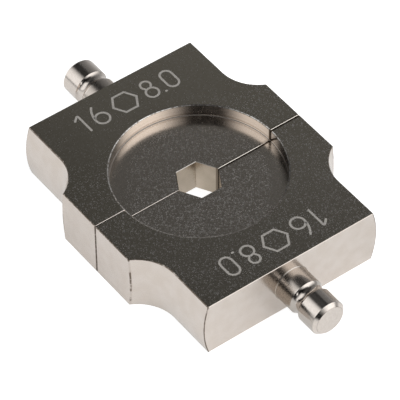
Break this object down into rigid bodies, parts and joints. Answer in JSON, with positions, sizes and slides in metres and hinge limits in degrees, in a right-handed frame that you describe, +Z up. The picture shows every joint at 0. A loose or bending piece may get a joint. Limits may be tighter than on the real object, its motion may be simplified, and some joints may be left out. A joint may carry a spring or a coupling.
{
  "type": "crimping die",
  "caption": "Split hexagon crimping die for cable lugs: matching turned and milled steel halves with a round recess, a hexagonal opening and grooved retaining studs.",
  "frame": {"origin": "centre of the hexagonal opening on the underside, midway between the parting faces", "axes": "+X along the parting line, +Y along the retaining studs towards the moving half, +Z up through the hexagonal opening"},
  "size_m": [0.048, 0.0802, 0.0126],
  "materials": {
    "die_steel": "satin nickel plate on fine-milled and turned hardened steel",
    "stud_steel": "bright nickel plate on fine-turned steel"
  },
  "bodies": {
    "fixed_half": {"fixed_die_block": "die_steel", "fixed_retaining_stud": "stud_steel"},
    "moving_half": {"moving_die_block": "die_steel", "moving_retaining_stud": "stud_steel"}
  },
  "joints": [
    {"name": "die_travel", "type": "slide", "parent": "fixed_half", "child": "moving_half", "axis": [0, 1, 0], "range_m": [-0.00013, 0.016]}
  ]
}
